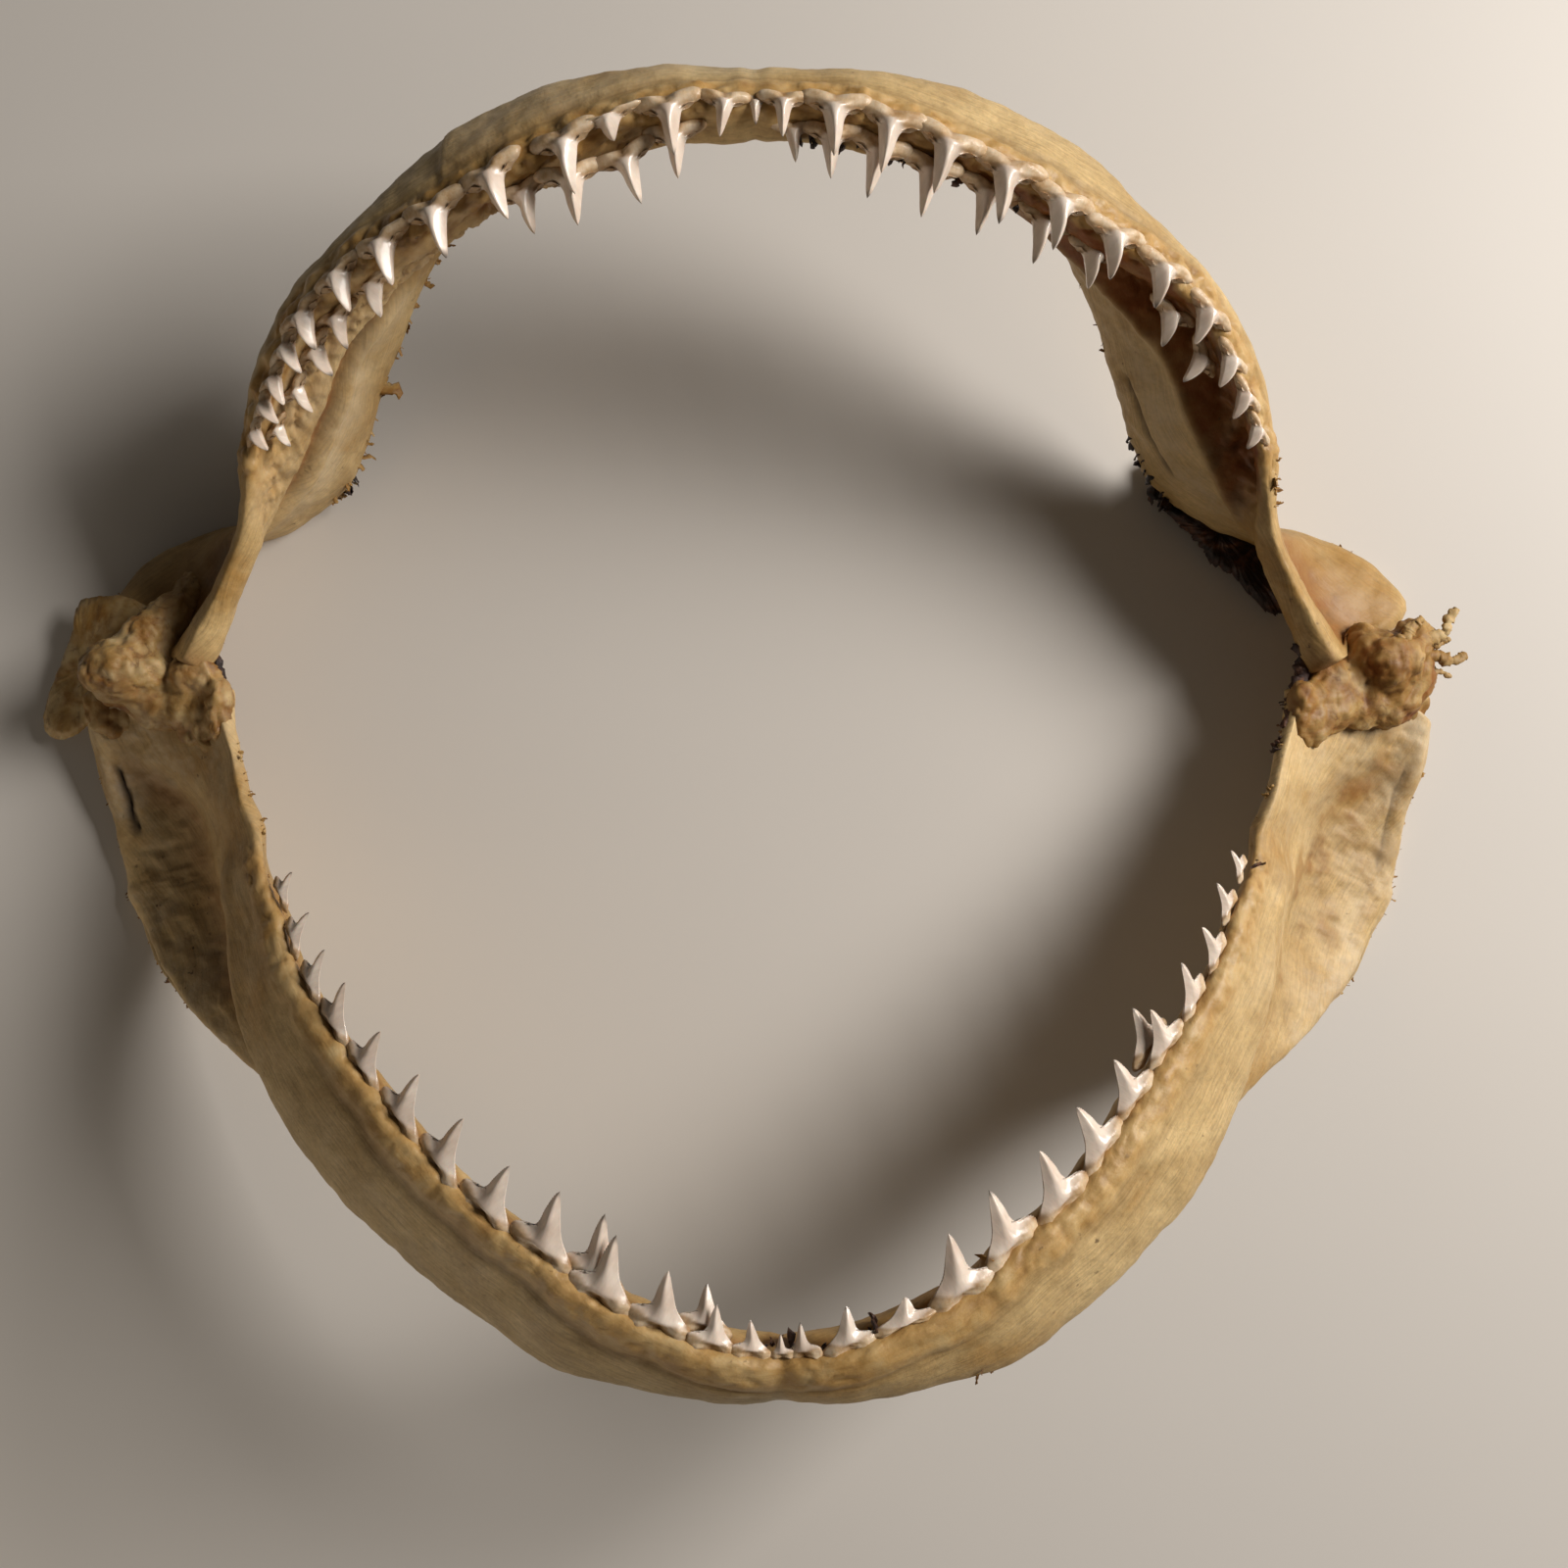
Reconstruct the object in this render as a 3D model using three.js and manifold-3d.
// A dried requiem shark jaw, lying on its back with the mouth stretched open.
//
// Millimetres, +Z up. The floor is z = 0 and the origin is under the middle of
// the jaw. +X is the viewer's right and +Y points from the upper jaw to the
// lower jaw, so the two jaws rise from the hinge line towards +Y and -Y.
//
// Each jaw half is one bar of cartilage. It is lofted through cross-sections
// that hang from its tooth line, and its teeth are joined to it.

import * as THREE from 'three';
import { mergeVertices } from 'three/addons/utils/BufferGeometryUtils.js';
import Module from 'manifold-3d';

const wasm = await Module();
wasm.setup();

// ---------------------------------------------------------------- driving sizes

const CENTRE = { x: -8.2, y: 9.2 };       // middle of the bounding box, moved to the origin
const GAP = 0.35;                         // clearance between pieces that touch
const SYMPHYSIS_WIDTH = 5.4;              // strip of ligament between the two halves of a jaw
const SECTION_POINTS = 14;                // corners round one cross-section
const SECTIONS = 27;                      // cross-sections along one half
const FLOOR_CUT = { side: 600, deep: 60 };  // block that takes off what would sink into the floor
const MERGE = 1e-4;                       // corners nearer than this are one
const TANGENT_STEP = 0.02;                // of a half's length, to find the tooth line's direction
const MEASURE_STEPS = 400;                // steps in which the tooth line is measured
const OVERLAP = 1;                        // the two halves of a jaw reach this far past the mid-plane

// The mid-plane of the lower jaw stands a little left of the middle. The upper
// jaw has dried with its front pulled sideways.
const MIDLINE = { x: -6.0, pull: 5.5, from: -50, to: -120 };

// One row is one cross-section, from the symphysis to the joint.
//   x, y, z  a point of the tooth line (x is measured from the mid-plane)
//   lip      how far the outer face stands outside the tooth line
//   foot     how far the lower edge lies inside it (minus: outside)
//   depth    how far the lower edge lies below it
//   thick    thickness of the plate half way down
//   ledge    width of the gum ledge inside the tooth line
//   sag      hollow of the outer face
const COLUMNS = ['x', 'y', 'z', 'lip', 'foot', 'depth', 'thick', 'ledge', 'sag'];
// The lip hangs below the tooth line by slope * lip + base, and the ledge by its
// own width + base. The plate starts part of the way down the lip, and its foot
// is rounded by a part of its thickness.
const SECTION = { lipSlope: 0.7, lipBase: 1, ledgeBase: 2, plateTop: 0.8, footRound: 0.35 };
const LOWER_ROWS = [
  [0.0, 138.5, 93.0, 8.5, -7.0, 27.0, 12.0, 6.0, 0.0],
  [18.0, 137.5, 93.0, 9.5, -8.0, 28.0, 12.0, 6.0, 0.0],
  [36.0, 132.5, 91.0, 13.5, -12.0, 30.0, 12.0, 6.0, 0.0],
  [53.5, 126.0, 87.0, 14.5, -13.0, 32.0, 12.0, 6.0, 0.0],
  [66.0, 120.0, 83.0, 14.0, -8.0, 35.0, 11.0, 6.0, 0.0],
  [77.5, 114.5, 78.0, 10.5, 0.0, 39.0, 11.0, 6.0, 0.0],
  [88.0, 109.0, 73.0, 8.0, 8.0, 43.0, 10.0, 5.0, 1.0],
  [98.0, 101.5, 67.0, 6.5, 12.0, 46.0, 9.0, 4.0, 2.0],
  [106.0, 90.0, 59.0, 6.5, 13.5, 47.0, 8.0, 3.5, 3.0],
  [113.0, 77.0, 51.0, 4.0, 11.5, 47.0, 8.0, 3.0, 2.0],
  [116.0, 65.5, 45.0, 2.5, 1.0, 45.5, 8.0, 3.0, -1.0],
  [118.5, 56.5, 40.5, 2.5, -12.0, 41.0, 8.0, 3.0, -2.0],
  [123.5, 47.0, 37.0, 3.0, -20.0, 37.0, 8.0, 3.0, 2.0],
  [129.5, 37.5, 34.0, 3.5, -25.5, 33.0, 9.0, 4.0, 4.0],
  [136.0, 27.5, 30.0, 4.0, -27.0, 28.0, 10.0, 5.0, 2.0],
];
const UPPER_ROWS = [
  [0.0, -119.0, 90.0, 8.0, -8.0, 26.0, 13.0, 5.0, 0.0],
  [15.0, -116.5, 91.0, 11.0, -10.0, 28.0, 14.0, 5.0, 0.0],
  [38.0, -107.0, 88.0, 18.5, -15.0, 30.0, 15.0, 5.0, 0.0],
  [50.0, -98.0, 85.0, 20.5, -17.0, 31.0, 15.0, 5.0, 0.0],
  [62.0, -90.0, 81.0, 20.0, -18.0, 32.0, 15.0, 5.0, 0.0],
  [72.0, -80.5, 77.0, 21.0, -18.0, 33.0, 15.0, 5.0, 0.0],
  [80.5, -70.5, 73.0, 22.0, -19.0, 34.0, 15.0, 5.0, 0.0],
  [92.0, -56.0, 66.0, 20.0, -24.0, 37.0, 13.0, 4.0, 0.0],
  [103.0, -41.0, 57.5, 13.0, -34.0, 42.0, 10.0, 3.5, 3.0],
  [107.5, -30.0, 52.0, 9.5, -42.0, 46.0, 8.0, 3.0, 6.0],
  [112.0, -20.5, 47.0, 8.0, -43.5, 45.5, 7.0, 2.0, 7.0],
  [115.0, -11.0, 42.0, 5.0, -46.0, 42.5, 7.0, 1.5, 7.0],
  [119.0, -3.0, 39.0, 4.0, -43.0, 39.5, 7.0, 1.5, 7.0],
  [122.5, 6.5, 34.0, 4.0, -41.0, 32.0, 7.0, 1.5, 5.0],
  [126.0, 15.5, 30.0, 4.0, -40.0, 25.0, 8.0, 2.0, 3.0],
  [127.5, 24.0, 26.0, 4.0, -39.0, 18.0, 8.0, 2.0, 1.0],
];

// The two halves of a jaw didn't dry alike. The left half of the lower jaw
// stands more upright, and the left half of the upper jaw bulges further out.
// teeth: where each one stands along the tooth line, from the symphysis.
const LOWER = {
  left: {
    side: -1,
    footShift: -2.5,
    lipShift: 0,
    teeth: [6, 17.5, 30, 40, 57, 71, 85, 98, 111, 120, 128, 135, 142],
  },
  right: {
    side: 1,
    footShift: 2.5,
    lipShift: 0,
    teeth: [6, 16.5, 28.5, 41, 54.5, 67.5, 81.5, 95, 110, 122.5, 132, 141],
  },
};
const UPPER = {
  left: {
    side: -1,
    footShift: 0,
    lipShift: 4,
    teeth: [6.5, 15, 26.5, 40, 55, 69, 83, 96, 109.5, 121.5, 133, 146, 157],
  },
  right: {
    side: 1,
    footShift: 0,
    lipShift: 0,
    teeth: [5, 15, 27.5, 41.5, 56, 71.5, 87, 101, 115.5, 128.5, 141.5, 153.5, 164],
  },
};

// Replacement teeth that lie in the gutter behind the lower row.
const SPARE_TEETH = [87, 99, 110, 120, 129];

// Tooth sizes at a few places along the tooth line, in millimetres from the
// symphysis. lift is the angle of the cusp above level, and slant is how far it
// leans towards the joint.
const LOWER_TOOTH = {
  at: [0, 17, 35, 60, 85, 110, 125, 145],
  width: [8, 13, 14, 14.5, 14, 12, 9, 6],
  height: [8, 14, 17, 17, 15, 11, 8, 5.5],
  lift: [12, 12, 14, 18, 30, 42, 52, 60],
  slant: [0, 2, 2, 6, 14, 20, 22, 22],
  shoulder: 0.3,
};
const UPPER_TOOTH = {
  at: [0, 15, 27, 45, 75, 100, 130, 165],
  width: [6, 11, 14.5, 16, 15.5, 14.5, 12, 7],
  height: [6, 11, 16, 17.5, 16, 14, 10, 5],
  lift: [12, 14, 18, 22, 28, 36, 42, 46],
  slant: [2, 8, 13, 14, 16, 20, 28, 32],
  shoulder: 0.55,
};
const TOOTH_THICKNESS = 0.3;              // of the tooth's width
const TOOTH_SINK = 1.0;                   // how far a tooth's neck stands below the tooth line
const ROOT = { depth: 3.0, halfWidth: 0.35, thick: 0.8 };
const NECK = { halfWidth: 0.5, thick: 1 };
const SHOULDER = { up: 0.25, spread: 0.5, base: 0.1, thick: 0.8 };
const BLADE = { up: 0.6, halfWidth: 0.17, thick: 0.5 };
const SPARE = { scale: 0.8, inset: 4.5, drop: 5, tip: 25 };

// Each joint is wrapped in a knobbly capsule of dried ligament.
const CAPSULE = {
  middle: [149, 29, 15],
  radii: [17, 11.5, 16.5],
  around: 18,
  upDown: 12,
};
// Its lumps: their height as a part of the radius, and how they follow each other.
const LUMPS = { height: 0.09, alongX: 5, shift: 1, alongY: 6, alongZ: 2 };

// Frayed strands of ligament on the right capsule.
const STRAND_MESH = { steps: 5, curveSegments: 3 };
const STRANDS = [
  { radius: 1.1, route: [[158, 34, 20], [165, 36, 20], [167, 39, 19], [168, 43.5, 18]] },
  { radius: 1.0, route: [[160, 30, 19], [167, 31, 18], [170.5, 29.5, 17], [173, 31, 16]] },
];

// A stiff ear of dried ligament that stands off the left joint.
const FLAP = {
  outline: [
    [148, 40], [157, 45.5], [168, 43], [171, 36], [175, 27],
    [178, 20], [177.5, 13], [172, 10], [164, 13], [150, 22],
  ],
  thick: 3.2,
  inner: { x: 150, z: 13 },
  outer: { x: 178, z: 2.4 },
};

// Black dried muscle along the foot of the lower jaw's right half.
const MUSCLE = {
  outline: [
    [104, 80], [108, 79], [116, 70], [122, 64], [127, 52],
    [131, 44], [128, 43], [121, 53], [115, 62], [107, 70],
  ],
  height: 7,
};

const COLOURS = {
  cartilage: { color: 0xc9ad7c, roughness: 0.6 },
  ligament: { color: 0xb08d55, roughness: 0.55 },
  muscle: { color: 0x3a241a, roughness: 0.8 },
};

// ---------------------------------------------------------------- small helpers

// A smooth value between evenly spaced ones, for t from 0 to 1.
function spline(values, t) {
  const place = t * (values.length - 1);
  const i = Math.min(Math.floor(place), values.length - 2);
  const f = place - i;
  const at = (k) => values[Math.min(Math.max(k, 0), values.length - 1)];
  const [a, b, c, d] = [at(i - 1), at(i), at(i + 1), at(i + 2)];
  return b + 0.5 * f * (c - a + f * (2 * a - 5 * b + 4 * c - d + f * (3 * (b - c) + d - a)));
}

// A value read off a profile such as LOWER_TOOTH.width at a distance.
function profile(places, values, distance) {
  const last = places.length - 1;
  const i = Math.min(Math.max(places.findIndex((p) => p > distance), 1), last);
  const f = THREE.MathUtils.clamp((distance - places[i - 1]) / (places[i] - places[i - 1]), 0, 1);
  return THREE.MathUtils.lerp(values[i - 1], values[i], f);
}

function midline(y) {
  const f = THREE.MathUtils.smoothstep(-y, -MIDLINE.from, -MIDLINE.to);
  return MIDLINE.x + MIDLINE.pull * f;
}

// From half-jaw coordinates, where x is measured outwards, to the part's own.
function placed(point, side) {
  const x = side * point.x + midline(point.y) - CENTRE.x;
  return new THREE.Vector3(x, point.y - CENTRE.y, point.z);
}

function geometryOf(points, triangles) {
  const geometry = new THREE.BufferGeometry();
  const numbers = points.flatMap((p) => p.toArray());
  geometry.setAttribute('position', new THREE.Float32BufferAttribute(numbers, 3));
  geometry.setIndex(triangles.flat());
  return geometry;
}

// A closed geometry as a manifold solid, with its faces turned out.
function solid(geometry) {
  const bare = geometry.clone();
  bare.deleteAttribute('normal');
  bare.deleteAttribute('uv');
  const { attributes: { position }, index } = mergeVertices(bare, MERGE);
  const corners = new Uint32Array(index.array);
  const corner = (k) => new THREE.Vector3().fromBufferAttribute(position, corners[k]);
  let volume = 0;
  for (let k = 0; k < corners.length; k += 3) {
    volume += corner(k).dot(corner(k + 1).cross(corner(k + 2)));
  }
  if (volume < 0) {
    for (let k = 0; k < corners.length; k += 3) {
      [corners[k], corners[k + 1]] = [corners[k + 1], corners[k]];
    }
  }
  return new wasm.Manifold(new wasm.Mesh({
    numProp: 3,
    vertProperties: new Float32Array(position.array),
    triVerts: corners,
  }));
}

function box(minimum, maximum) {
  const size = new THREE.Vector3().subVectors(maximum, minimum);
  const middle = new THREE.Vector3().addVectors(minimum, maximum).multiplyScalar(0.5);
  return solid(new THREE.BoxGeometry(...size.toArray()).translate(...middle.toArray()));
}

// The largest connected body of a solid.
function mainBody(whole) {
  return whole.decompose().reduce((a, b) => (b.volume() > a.volume() ? b : a));
}

function meshOf(whole, name, { color, roughness }) {
  const { vertProperties, triVerts } = mainBody(whole).getMesh();
  const geometry = new THREE.BufferGeometry();
  const position = new THREE.BufferAttribute(new Float32Array(vertProperties), 3);
  geometry.setAttribute('position', position);
  geometry.setIndex(new THREE.BufferAttribute(new Uint32Array(triVerts), 1));
  geometry.computeVertexNormals();
  const mesh = new THREE.Mesh(geometry, new THREE.MeshStandardMaterial({ color, roughness }));
  mesh.name = name;
  return mesh;
}

// ---------------------------------------------------------------- cartilage

// Sizes of the cross-section at t, with the half's own shifts blended in away
// from the symphysis and the joint.
function sizesAt(rows, t, half) {
  const sizes = {};
  COLUMNS.forEach((column, k) => { sizes[column] = spline(rows.map((row) => row[k]), t); });
  const middle = Math.sin(Math.PI * t) ** 2;
  sizes.foot += half.footShift * middle;
  sizes.lip += half.lipShift * middle;
  return sizes;
}

// The tooth line at t: a point, the direction along it and the level direction
// that points into the mouth.
function toothLine(rows, t) {
  const coordinate = (k, u) => spline(rows.map((row) => row[k]), u);
  const at = (u) => new THREE.Vector3(coordinate(0, u), coordinate(1, u), coordinate(2, u));
  const before = at(Math.max(t - TANGENT_STEP, 0));
  const along = at(Math.min(t + TANGENT_STEP, 1)).sub(before).normalize();
  if (t <= 0) along.set(1, 0, 0);
  const turn = rows === LOWER_ROWS ? -1 : 1;
  const inward = new THREE.Vector3(-along.y * turn, along.x * turn, 0).normalize();
  return { point: at(t), along, inward };
}

// One cross-section as a smooth closed outline of (inward, up) points.
function sectionOutline(sizes) {
  const foot = new THREE.Vector2(sizes.foot, -sizes.depth);
  const lip = new THREE.Vector2(-sizes.lip, -SECTION.lipSlope * sizes.lip - SECTION.lipBase);
  const ledge = new THREE.Vector2(sizes.ledge, -sizes.ledge - SECTION.ledgeBase);
  const head = new THREE.Vector2((sizes.ledge - sizes.lip) / 2, SECTION.plateTop * lip.y);
  const down = foot.clone().sub(head).normalize();
  const across = new THREE.Vector2(-down.y, down.x);
  const middle = head.clone().lerp(foot, 0.5).addScaledVector(across, sizes.sag);
  const footHalf = SECTION.footRound * sizes.thick;
  const heel = foot.clone().addScaledVector(down, -footHalf);
  const corners = [
    new THREE.Vector2(0, 0),
    lip,
    middle.clone().addScaledVector(across, -sizes.thick / 2),
    heel.clone().addScaledVector(across, -footHalf),
    foot,
    heel.clone().addScaledVector(across, footHalf),
    middle.clone().addScaledVector(across, sizes.thick / 2),
    ledge,
  ];
  const curve = new THREE.CatmullRomCurve3(corners.map((c) => new THREE.Vector3(c.x, c.y, 0)), true);
  const outline = curve.getPoints(SECTION_POINTS).slice(0, SECTION_POINTS);
  return outline.map((p) => new THREE.Vector2(p.x, p.y));
}

// A half's bar of cartilage. The first ring is pushed over the mid-plane, so
// that the two halves meet there.
function bar(rows, half) {
  const points = [];
  const rings = [];
  for (let i = 0; i < SECTIONS; i += 1) {
    const t = i / (SECTIONS - 1);
    const { point, inward } = toothLine(rows, t);
    if (i === 0) point.x -= OVERLAP;
    const outline = sectionOutline(sizesAt(rows, t, half));
    const ring = outline.map((corner) => {
      const spot = point.clone().addScaledVector(inward, corner.x);
      spot.z += corner.y;
      points.push(placed(spot, half.side));
      return points.length - 1;
    });
    rings.push({ ring, outline });
  }
  const triangles = [];
  for (let i = 1; i < SECTIONS; i += 1) {
    const [a, b] = [rings[i - 1].ring, rings[i].ring];
    a.forEach((_, k) => {
      const next = (k + 1) % SECTION_POINTS;
      triangles.push([a[k], b[k], b[next]], [a[k], b[next], a[next]]);
    });
  }
  const [first, last] = [rings[0], rings[SECTIONS - 1]];
  const cap = ({ ring, outline }) => THREE.ShapeUtils.triangulateShape(outline, [])
    .map((triangle) => triangle.map((k) => ring[k]));
  const caps = [cap(first), cap(last)].flatMap((piece) => fitted(piece, triangles));
  return geometryOf(points, [...triangles, ...caps]);
}

// An end cap, wound the way the wall's open edge needs it.
function fitted(cap, wall) {
  const edges = new Set(wall.flatMap(([a, b, c]) => [`${a},${b}`, `${b},${c}`, `${c},${a}`]));
  const clash = ([a, b, c]) => [[a, b], [b, c], [c, a]].some(([from, to]) => edges.has(`${from},${to}`));
  return cap.some(clash) ? cap.map(([a, b, c]) => [a, c, b]) : cap;
}

// ---------------------------------------------------------------- teeth

// Distances from the symphysis along the tooth line, as a table to look t up in.
function measure(rows) {
  const lengths = [0];
  let last = toothLine(rows, 0).point;
  for (let i = 1; i <= MEASURE_STEPS; i += 1) {
    const { point } = toothLine(rows, i / MEASURE_STEPS);
    lengths.push(lengths[i - 1] + last.distanceTo(point));
    last = point;
  }
  const reached = (distance) => lengths.findIndex((length) => length >= distance);
  return (distance) => Math.max(reached(distance), 1) / MEASURE_STEPS;
}

// A tooth is a stack of diamond sections that narrows to its tip.
function tooth(rows, kind, half, distance, { scale = 1, inset = 0, drop = 0, tip = 0 } = {}) {
  const { point, along, inward } = toothLine(rows, measure(rows)(distance));
  const read = (values) => profile(kind.at, values, distance);
  const [width, height] = [read(kind.width) * scale, read(kind.height) * scale];
  const lift = THREE.MathUtils.degToRad(read(kind.lift) + tip);
  const slant = THREE.MathUtils.degToRad(read(kind.slant));
  const cusp = inward.clone().multiplyScalar(Math.cos(lift)).setZ(Math.sin(lift));
  cusp.multiplyScalar(Math.cos(slant)).addScaledVector(along, Math.sin(slant)).normalize();
  const across = along.clone().addScaledVector(cusp, -along.dot(cusp)).normalize();
  const through = new THREE.Vector3().crossVectors(across, cusp);
  const base = point.clone().addScaledVector(inward, inset);
  base.z -= drop + TOOTH_SINK;
  const shoulder = SHOULDER.spread * kind.shoulder + SHOULDER.base;
  const shape = [
    [-ROOT.depth, ROOT.halfWidth, ROOT.thick],
    [0, NECK.halfWidth, NECK.thick],
    [SHOULDER.up * height, shoulder, SHOULDER.thick],
    [BLADE.up * height, BLADE.halfWidth, BLADE.thick],
  ];
  const points = [];
  shape.forEach(([up, wide, deep]) => {
    const middle = base.clone().addScaledVector(cusp, up);
    const [w, d] = [wide * width, 0.5 * deep * TOOTH_THICKNESS * width];
    [[w, 0], [0, d], [-w, 0], [0, -d]].forEach(([a, b]) => {
      const spot = middle.clone().addScaledVector(across, a).addScaledVector(through, b);
      points.push(placed(spot, half.side));
    });
  });
  points.push(placed(base.clone().addScaledVector(cusp, height), half.side));
  const triangles = [[0, 2, 1], [0, 3, 2]];
  for (let ring = 0; ring < shape.length; ring += 1) {
    for (let k = 0; k < 4; k += 1) {
      const [a, b] = [ring * 4 + k, ring * 4 + ((k + 1) % 4)];
      if (ring < shape.length - 1) triangles.push([a, b, b + 4], [a, b + 4, a + 4]);
      else triangles.push([a, b, points.length - 1]);
    }
  }
  return solid(geometryOf(points, triangles));
}

// ---------------------------------------------------------------- joints

// An egg with soft lumps, grown by an allowance on every side.
function capsuleShape(side, allowance) {
  const geometry = new THREE.SphereGeometry(1, CAPSULE.around, CAPSULE.upDown);
  const position = geometry.attributes.position;
  const middle = new THREE.Vector3(...CAPSULE.middle);
  const radii = new THREE.Vector3(...CAPSULE.radii);
  for (let k = 0; k < position.count; k += 1) {
    const spot = new THREE.Vector3().fromBufferAttribute(position, k);
    const wave = Math.sin(LUMPS.alongX * spot.x + LUMPS.shift);
    const cross = Math.sin(LUMPS.alongY * spot.y + LUMPS.alongZ * spot.z);
    const reach = radii.clone().multiplyScalar(1 + LUMPS.height * (wave + cross)).addScalar(allowance);
    position.setXYZ(k, ...placed(spot.multiply(reach).add(middle), side).toArray());
  }
  return solid(geometry);
}

// A strand of frayed ligament, from the capsule out to a free end.
function strand(points, radius) {
  const route = new THREE.CatmullRomCurve3(points.map((p) => placed(new THREE.Vector3(...p), 1)));
  const round = new THREE.Shape().absarc(0, 0, radius, 0, 2 * Math.PI);
  return solid(new THREE.ExtrudeGeometry(round, { extrudePath: route, ...STRAND_MESH }));
}

// The ear of ligament slopes down from the joint to its outer edge.
function flap() {
  const shape = new THREE.Shape(FLAP.outline.map(([x, y]) => new THREE.Vector2(x, y)));
  const geometry = new THREE.ExtrudeGeometry(shape, { depth: FLAP.thick, bevelEnabled: false });
  const slope = (FLAP.outer.z - FLAP.inner.z) / (FLAP.outer.x - FLAP.inner.x);
  const position = geometry.attributes.position;
  for (let k = 0; k < position.count; k += 1) {
    const [x, y] = [position.getX(k), position.getY(k)];
    const z = position.getZ(k) + FLAP.inner.z + slope * (x - FLAP.inner.x);
    position.setXYZ(k, ...placed(new THREE.Vector3(x, y, z), -1).toArray());
  }
  return solid(geometry);
}

function muscle() {
  const shape = new THREE.Shape(MUSCLE.outline.map(([x, y]) => new THREE.Vector2(x, y)));
  const geometry = new THREE.ExtrudeGeometry(shape, { depth: MUSCLE.height, bevelEnabled: false });
  const position = geometry.attributes.position;
  for (let k = 0; k < position.count; k += 1) {
    const spot = new THREE.Vector3().fromBufferAttribute(position, k);
    position.setXYZ(k, ...placed(spot, 1).toArray());
  }
  return solid(geometry);
}

// ---------------------------------------------------------------- assembly

const group = new THREE.Group();
const floor = box(
  new THREE.Vector3(-FLOOR_CUT.side, -FLOOR_CUT.side, -FLOOR_CUT.deep),
  new THREE.Vector3(FLOOR_CUT.side, FLOOR_CUT.side, 0),
);
const seats = [-1, 1].map((side) => capsuleShape(side, GAP));

// The slice of space between two distances from a jaw's mid-plane.
function slice(middle, from, to) {
  const { side } = FLOOR_CUT;
  const low = new THREE.Vector3(middle + from, -side, -side);
  return box(low, new THREE.Vector3(middle + to, side, side));
}

// One jaw: two toothed halves and the strip of ligament between them.
function addJaw(name, rows, kind, halves, spares) {
  const both = solid(bar(rows, halves.left)).add(solid(bar(rows, halves.right)));
  const middle = midline(rows[0][1]) - CENTRE.x;
  const strip = SYMPHYSIS_WIDTH / 2;
  const { side } = FLOOR_CUT;
  const keeps = {
    left: slice(middle, -side, -strip - GAP),
    right: slice(middle, strip + GAP, side),
  };
  Object.entries(halves).forEach(([label, half]) => {
    const keep = keeps[label];
    const row = half.teeth.map((at) => tooth(rows, kind, half, at));
    const spare = spares.map((at) => tooth(rows, kind, half, at, SPARE));
    let jaw = [...row, ...spare].reduce((whole, piece) => whole.add(piece), both.intersect(keep));
    jaw = seats.reduce((whole, seat) => whole.subtract(seat), jaw.intersect(keep)).subtract(floor);
    group.add(meshOf(jaw, `${name}_jaw_${label}`, COLOURS.cartilage));
  });
  group.add(meshOf(both.intersect(slice(middle, -strip, strip)), `${name}_symphysis`, COLOURS.ligament));
}

addJaw('lower', LOWER_ROWS, LOWER_TOOTH, LOWER, SPARE_TEETH);
addJaw('upper', UPPER_ROWS, UPPER_TOOTH, UPPER, []);

const strands = STRANDS.map(({ route, radius }) => strand(route, radius));
const rightCapsule = strands.reduce((whole, piece) => whole.add(piece), capsuleShape(1, 0));
group.add(meshOf(capsuleShape(-1, 0).subtract(floor), 'joint_capsule_left', COLOURS.ligament));
group.add(meshOf(rightCapsule.subtract(floor), 'joint_capsule_right', COLOURS.ligament));

// What lies against a jaw half is cut clear of it.
function clearOf(piece, half, rows) {
  const offsets = [
    [0, 0, 0], [GAP, 0, 0], [-GAP, 0, 0],
    [0, GAP, 0], [0, -GAP, 0], [0, 0, GAP],
  ];
  const moved = offsets.map((offset) => solid(bar(rows, half).translate(...offset)));
  return moved.reduce((rest, cutter) => rest.subtract(cutter), piece);
}

const leftFlap = clearOf(clearOf(flap(), LOWER.left, LOWER_ROWS), UPPER.left, UPPER_ROWS);
group.add(meshOf(leftFlap.subtract(seats[0]).subtract(floor), 'ligament_flap_left', COLOURS.ligament));
const rightMuscle = clearOf(muscle(), LOWER.right, LOWER_ROWS);
group.add(meshOf(rightMuscle, 'dried_muscle_right', COLOURS.muscle));

export default group;
